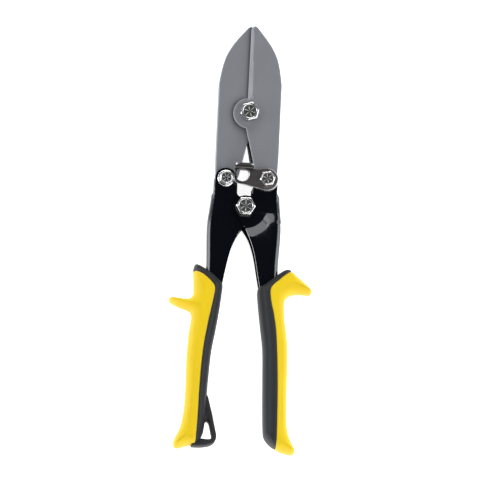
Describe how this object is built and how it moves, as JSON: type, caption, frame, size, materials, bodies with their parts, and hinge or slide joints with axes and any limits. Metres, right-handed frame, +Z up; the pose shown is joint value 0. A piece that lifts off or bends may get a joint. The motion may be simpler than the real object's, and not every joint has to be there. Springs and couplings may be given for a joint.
{
  "type": "sheet metal crimper",
  "caption": "Hand crimper for sheet metal pipe and gutter: long interleaved blades on compound-action handles with two-tone grips and a strut latch.",
  "frame": {"origin": "under the middle of the tool, on the surface that the grips lie on", "axes": "+Y towards the blade tips, +Z up through the tool's thickness away from the surface, +X to the right-hand handle"},
  "size_m": [0.0822, 0.25, 0.026],
  "materials": {
    "blade_steel": "matte grey heat-treated steel, fine grain, edges rubbed bright",
    "handle_enamel": "glossy blue-black enamel on stamped steel",
    "grip_core": "charcoal moulded grip, fine satin texture",
    "grip_cover": "yellow moulded grip, satin",
    "bright_nickel": "bright nickel plate with tarnish in the recesses",
    "dark_nickel": "dark nickel plate with bright polished edges",
    "zinc_steel": "plain zinc-plated steel",
    "spring_steel": "oiled spring steel"
  },
  "bodies": {
    "right_handle": {"right_handle_frame": "handle_enamel", "right_grip_core": "grip_core", "right_grip_cover": "grip_cover", "handle_pivot_bolt": "bright_nickel", "handle_pivot_nut": "bright_nickel", "handle_pivot_sleeve": "zinc_steel", "handle_pivot_washers": "zinc_steel", "right_link_bolt": "bright_nickel", "right_link_nut": "bright_nickel", "right_tail_washers": "zinc_steel", "latch_washer": "zinc_steel"},
    "left_handle": {"left_handle_frame": "handle_enamel", "left_grip_core": "grip_core", "left_grip_cover": "grip_cover", "left_link_bolt": "bright_nickel", "left_link_nut": "bright_nickel", "left_tail_washers": "zinc_steel", "return_spring": "spring_steel"},
    "right_jaw": {"right_jaw_front_blade": "blade_steel", "right_jaw_middle_blade": "blade_steel", "right_jaw_back_blade": "blade_steel", "jaw_pivot_bolt": "bright_nickel", "jaw_pivot_nut": "bright_nickel", "jaw_pivot_washers": "zinc_steel", "right_tail_spacers": "zinc_steel"},
    "left_jaw": {"left_jaw_front_blade": "blade_steel", "left_jaw_back_blade": "blade_steel", "left_tail_spacer": "zinc_steel"},
    "latch": {"latch": "dark_nickel"}
  },
  "joints": [
    {"name": "handle_pivot", "type": "hinge", "parent": "right_handle", "child": "left_handle", "pos_m": [0, 0.0172, 0.011], "axis": [0, 0, 1], "range_deg": [-25, 0], "deforming": ["return_spring"]},
    {"name": "right_jaw_link", "type": "hinge", "parent": "right_handle", "child": "right_jaw", "pos_m": [0.0118, 0.0338, 0.011], "axis": [0, 0, 1], "range_deg": [-18.2, 0]},
    {"name": "left_jaw_link", "type": "hinge", "parent": "left_handle", "child": "left_jaw", "pos_m": [-0.0118, 0.0338, 0.011], "axis": [0, 0, 1], "range_deg": [0, 18.2]},
    {"name": "latch_pivot", "type": "hinge", "parent": "right_handle", "child": "latch", "pos_m": [0.0118, 0.0338, 0.011], "axis": [0, 0, 1], "range_deg": [-90.5, 0]}
  ],
  "couplings": [
    {"joint": "right_jaw_link", "follows": "handle_pivot", "ratio": 0.7202},
    {"joint": "left_jaw_link", "follows": "handle_pivot", "ratio": -0.7202},
    {"joint": "latch_pivot", "follows": "handle_pivot", "ratio": 3.6}
  ]
}
